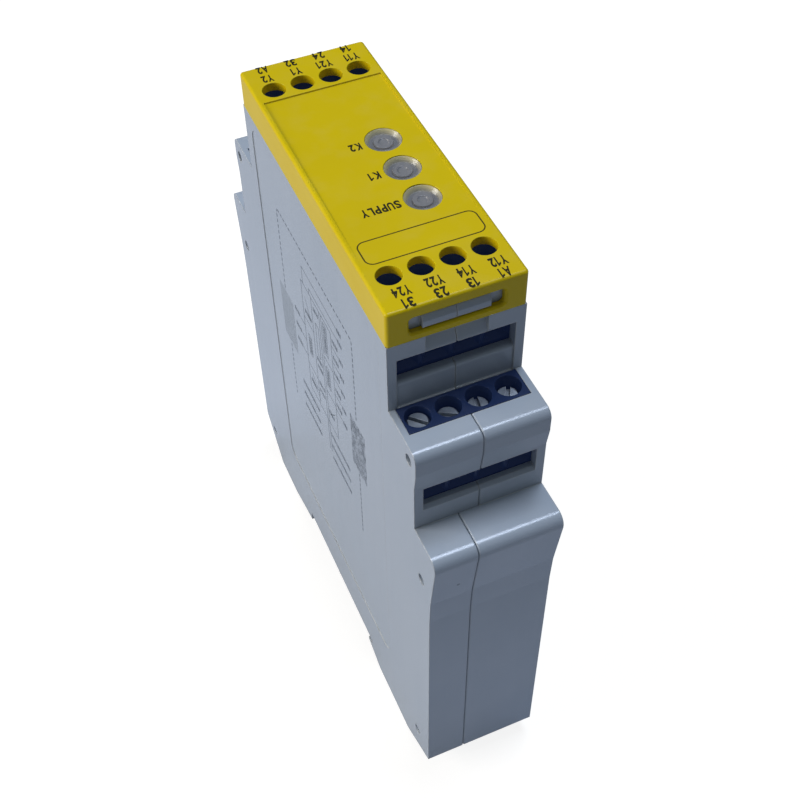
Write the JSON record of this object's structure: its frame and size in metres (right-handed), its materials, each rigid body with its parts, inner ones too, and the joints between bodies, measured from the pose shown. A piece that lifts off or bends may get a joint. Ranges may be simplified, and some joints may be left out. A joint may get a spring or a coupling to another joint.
{
  "type": "safety relay",
  "caption": "Narrow rail-mounted safety relay with a stepped grey case, yellow front cover, round indicators, screw terminals and a sliding rail latch.",
  "frame": {"origin": "middle of the plane of the rail-side feet", "axes": "+Z from the rail to the front, +Y along the length towards the sliding latch, +X across the width"},
  "size_m": [0.0222, 0.097, 0.1145],
  "materials": {
    "case_grey": "fine moulded grain",
    "cover_yellow": "satin moulded",
    "block_navy": "moulded",
    "bar_copper": "tinned",
    "header_black": "moulded",
    "board_green": "solder mask",
    "relay_black": "moulded",
    "can_sleeve": "sleeved",
    "lens_milky": "frosted",
    "led_clear": "clear resin",
    "screw_zinc": "zinc plated",
    "cage_zinc": "zinc plated",
    "latch_black": "moulded"
  },
  "bodies": {
    "relay": {"case_left": "case_grey", "case_right": "case_grey", "front_cover": "cover_yellow", "terminal_block_near_upper": "block_navy", "terminal_block_near_lower": "block_navy", "terminal_block_far_upper": "block_navy", "terminal_block_far_lower": "block_navy", "contact_bars_near_upper": "bar_copper", "contact_bars_near_lower": "bar_copper", "contact_bars_far_upper": "bar_copper", "contact_bars_far_lower": "bar_copper", "pin_header_near_upper": "header_black", "pin_header_near_lower": "header_black", "pin_header_far_upper": "header_black", "pin_header_far_lower": "header_black", "main_board": "board_green", "relay_k1": "relay_black", "relay_k2": "relay_black", "smoothing_capacitor": "can_sleeve", "display_board": "board_green", "lens_k2": "lens_milky", "lens_k1": "lens_milky", "lens_supply": "lens_milky", "led_k2": "led_clear", "led_k1": "led_clear", "led_supply": "led_clear"},
    "rail_latch": {"rail_latch": "latch_black"},
    "screw_near_upper_1": {"screw_near_upper_1": "screw_zinc"},
    "clamp_cage_near_upper_1": {"clamp_cage_near_upper_1": "cage_zinc"},
    "screw_near_upper_2": {"screw_near_upper_2": "screw_zinc"},
    "clamp_cage_near_upper_2": {"clamp_cage_near_upper_2": "cage_zinc"},
    "screw_near_upper_3": {"screw_near_upper_3": "screw_zinc"},
    "clamp_cage_near_upper_3": {"clamp_cage_near_upper_3": "cage_zinc"},
    "screw_near_upper_4": {"screw_near_upper_4": "screw_zinc"},
    "clamp_cage_near_upper_4": {"clamp_cage_near_upper_4": "cage_zinc"},
    "screw_near_lower_1": {"screw_near_lower_1": "screw_zinc"},
    "clamp_cage_near_lower_1": {"clamp_cage_near_lower_1": "cage_zinc"},
    "screw_near_lower_2": {"screw_near_lower_2": "screw_zinc"},
    "clamp_cage_near_lower_2": {"clamp_cage_near_lower_2": "cage_zinc"},
    "screw_near_lower_3": {"screw_near_lower_3": "screw_zinc"},
    "clamp_cage_near_lower_3": {"clamp_cage_near_lower_3": "cage_zinc"},
    "screw_near_lower_4": {"screw_near_lower_4": "screw_zinc"},
    "clamp_cage_near_lower_4": {"clamp_cage_near_lower_4": "cage_zinc"},
    "screw_far_upper_1": {"screw_far_upper_1": "screw_zinc"},
    "clamp_cage_far_upper_1": {"clamp_cage_far_upper_1": "cage_zinc"},
    "screw_far_upper_2": {"screw_far_upper_2": "screw_zinc"},
    "clamp_cage_far_upper_2": {"clamp_cage_far_upper_2": "cage_zinc"},
    "screw_far_upper_3": {"screw_far_upper_3": "screw_zinc"},
    "clamp_cage_far_upper_3": {"clamp_cage_far_upper_3": "cage_zinc"},
    "screw_far_upper_4": {"screw_far_upper_4": "screw_zinc"},
    "clamp_cage_far_upper_4": {"clamp_cage_far_upper_4": "cage_zinc"},
    "screw_far_lower_1": {"screw_far_lower_1": "screw_zinc"},
    "clamp_cage_far_lower_1": {"clamp_cage_far_lower_1": "cage_zinc"},
    "screw_far_lower_2": {"screw_far_lower_2": "screw_zinc"},
    "clamp_cage_far_lower_2": {"clamp_cage_far_lower_2": "cage_zinc"},
    "screw_far_lower_3": {"screw_far_lower_3": "screw_zinc"},
    "clamp_cage_far_lower_3": {"clamp_cage_far_lower_3": "cage_zinc"},
    "screw_far_lower_4": {"screw_far_lower_4": "screw_zinc"},
    "clamp_cage_far_lower_4": {"clamp_cage_far_lower_4": "cage_zinc"}
  },
  "joints": [
    {"name": "rail_latch_slide", "type": "slide", "parent": "relay", "child": "rail_latch", "axis": [0, 1, 0], "range_m": [0, 0.003], "stiffness_N_per_m": 800, "springref_m": -0.001},
    {"name": "turn_near_upper_1", "type": "hinge", "parent": "relay", "child": "screw_near_upper_1", "pos_m": [-0.0075, -0.02405, 0.1095], "axis": [0, 0, -1], "range_deg": [0, 1800]},
    {"name": "lift_near_upper_1", "type": "slide", "parent": "relay", "child": "clamp_cage_near_upper_1", "axis": [0, 0, 1], "range_m": [0, 0.0025]},
    {"name": "turn_near_upper_2", "type": "hinge", "parent": "relay", "child": "screw_near_upper_2", "pos_m": [-0.0025, -0.02405, 0.1095], "axis": [0, 0, -1], "range_deg": [0, 1800]},
    {"name": "lift_near_upper_2", "type": "slide", "parent": "relay", "child": "clamp_cage_near_upper_2", "axis": [0, 0, 1], "range_m": [0, 0.0025]},
    {"name": "turn_near_upper_3", "type": "hinge", "parent": "relay", "child": "screw_near_upper_3", "pos_m": [0.0025, -0.02405, 0.1095], "axis": [0, 0, -1], "range_deg": [0, 1800]},
    {"name": "lift_near_upper_3", "type": "slide", "parent": "relay", "child": "clamp_cage_near_upper_3", "axis": [0, 0, 1], "range_m": [0, 0.0025]},
    {"name": "turn_near_upper_4", "type": "hinge", "parent": "relay", "child": "screw_near_upper_4", "pos_m": [0.0075, -0.02405, 0.1095], "axis": [0, 0, -1], "range_deg": [0, 1800]},
    {"name": "lift_near_upper_4", "type": "slide", "parent": "relay", "child": "clamp_cage_near_upper_4", "axis": [0, 0, 1], "range_m": [0, 0.0025]},
    {"name": "turn_near_lower_1", "type": "hinge", "parent": "relay", "child": "screw_near_lower_1", "pos_m": [-0.0075, -0.034, 0.0908], "axis": [0, 0, -1], "range_deg": [0, 1800]},
    {"name": "lift_near_lower_1", "type": "slide", "parent": "relay", "child": "clamp_cage_near_lower_1", "axis": [0, 0, 1], "range_m": [0, 0.0025]},
    {"name": "turn_near_lower_2", "type": "hinge", "parent": "relay", "child": "screw_near_lower_2", "pos_m": [-0.0025, -0.034, 0.0908], "axis": [0, 0, -1], "range_deg": [0, 1800]},
    {"name": "lift_near_lower_2", "type": "slide", "parent": "relay", "child": "clamp_cage_near_lower_2", "axis": [0, 0, 1], "range_m": [0, 0.0025]},
    {"name": "turn_near_lower_3", "type": "hinge", "parent": "relay", "child": "screw_near_lower_3", "pos_m": [0.0025, -0.034, 0.0908], "axis": [0, 0, -1], "range_deg": [0, 1800]},
    {"name": "lift_near_lower_3", "type": "slide", "parent": "relay", "child": "clamp_cage_near_lower_3", "axis": [0, 0, 1], "range_m": [0, 0.0025]},
    {"name": "turn_near_lower_4", "type": "hinge", "parent": "relay", "child": "screw_near_lower_4", "pos_m": [0.0075, -0.034, 0.0908], "axis": [0, 0, -1], "range_deg": [0, 1800]},
    {"name": "lift_near_lower_4", "type": "slide", "parent": "relay", "child": "clamp_cage_near_lower_4", "axis": [0, 0, 1], "range_m": [0, 0.0025]},
    {"name": "turn_far_upper_1", "type": "hinge", "parent": "relay", "child": "screw_far_upper_1", "pos_m": [-0.0075, 0.02405, 0.1095], "axis": [0, 0, -1], "range_deg": [0, 1800]},
    {"name": "lift_far_upper_1", "type": "slide", "parent": "relay", "child": "clamp_cage_far_upper_1", "axis": [0, 0, 1], "range_m": [0, 0.0025]},
    {"name": "turn_far_upper_2", "type": "hinge", "parent": "relay", "child": "screw_far_upper_2", "pos_m": [-0.0025, 0.02405, 0.1095], "axis": [0, 0, -1], "range_deg": [0, 1800]},
    {"name": "lift_far_upper_2", "type": "slide", "parent": "relay", "child": "clamp_cage_far_upper_2", "axis": [0, 0, 1], "range_m": [0, 0.0025]},
    {"name": "turn_far_upper_3", "type": "hinge", "parent": "relay", "child": "screw_far_upper_3", "pos_m": [0.0025, 0.02405, 0.1095], "axis": [0, 0, -1], "range_deg": [0, 1800]},
    {"name": "lift_far_upper_3", "type": "slide", "parent": "relay", "child": "clamp_cage_far_upper_3", "axis": [0, 0, 1], "range_m": [0, 0.0025]},
    {"name": "turn_far_upper_4", "type": "hinge", "parent": "relay", "child": "screw_far_upper_4", "pos_m": [0.0075, 0.02405, 0.1095], "axis": [0, 0, -1], "range_deg": [0, 1800]},
    {"name": "lift_far_upper_4", "type": "slide", "parent": "relay", "child": "clamp_cage_far_upper_4", "axis": [0, 0, 1], "range_m": [0, 0.0025]},
    {"name": "turn_far_lower_1", "type": "hinge", "parent": "relay", "child": "screw_far_lower_1", "pos_m": [-0.0075, 0.034, 0.0908], "axis": [0, 0, -1], "range_deg": [0, 1800]},
    {"name": "lift_far_lower_1", "type": "slide", "parent": "relay", "child": "clamp_cage_far_lower_1", "axis": [0, 0, 1], "range_m": [0, 0.0025]},
    {"name": "turn_far_lower_2", "type": "hinge", "parent": "relay", "child": "screw_far_lower_2", "pos_m": [-0.0025, 0.034, 0.0908], "axis": [0, 0, -1], "range_deg": [0, 1800]},
    {"name": "lift_far_lower_2", "type": "slide", "parent": "relay", "child": "clamp_cage_far_lower_2", "axis": [0, 0, 1], "range_m": [0, 0.0025]},
    {"name": "turn_far_lower_3", "type": "hinge", "parent": "relay", "child": "screw_far_lower_3", "pos_m": [0.0025, 0.034, 0.0908], "axis": [0, 0, -1], "range_deg": [0, 1800]},
    {"name": "lift_far_lower_3", "type": "slide", "parent": "relay", "child": "clamp_cage_far_lower_3", "axis": [0, 0, 1], "range_m": [0, 0.0025]},
    {"name": "turn_far_lower_4", "type": "hinge", "parent": "relay", "child": "screw_far_lower_4", "pos_m": [0.0075, 0.034, 0.0908], "axis": [0, 0, -1], "range_deg": [0, 1800]},
    {"name": "lift_far_lower_4", "type": "slide", "parent": "relay", "child": "clamp_cage_far_lower_4", "axis": [0, 0, 1], "range_m": [0, 0.0025]}
  ],
  "couplings": [
    {"joint": "turn_near_upper_1", "follows": "lift_near_upper_1", "rad_per_m": 12566},
    {"joint": "turn_near_upper_2", "follows": "lift_near_upper_2", "rad_per_m": 12566},
    {"joint": "turn_near_upper_3", "follows": "lift_near_upper_3", "rad_per_m": 12566},
    {"joint": "turn_near_upper_4", "follows": "lift_near_upper_4", "rad_per_m": 12566},
    {"joint": "turn_near_lower_1", "follows": "lift_near_lower_1", "rad_per_m": 12566},
    {"joint": "turn_near_lower_2", "follows": "lift_near_lower_2", "rad_per_m": 12566},
    {"joint": "turn_near_lower_3", "follows": "lift_near_lower_3", "rad_per_m": 12566},
    {"joint": "turn_near_lower_4", "follows": "lift_near_lower_4", "rad_per_m": 12566},
    {"joint": "turn_far_upper_1", "follows": "lift_far_upper_1", "rad_per_m": 12566},
    {"joint": "turn_far_upper_2", "follows": "lift_far_upper_2", "rad_per_m": 12566},
    {"joint": "turn_far_upper_3", "follows": "lift_far_upper_3", "rad_per_m": 12566},
    {"joint": "turn_far_upper_4", "follows": "lift_far_upper_4", "rad_per_m": 12566},
    {"joint": "turn_far_lower_1", "follows": "lift_far_lower_1", "rad_per_m": 12566},
    {"joint": "turn_far_lower_2", "follows": "lift_far_lower_2", "rad_per_m": 12566},
    {"joint": "turn_far_lower_3", "follows": "lift_far_lower_3", "rad_per_m": 12566},
    {"joint": "turn_far_lower_4", "follows": "lift_far_lower_4", "rad_per_m": 12566}
  ]
}
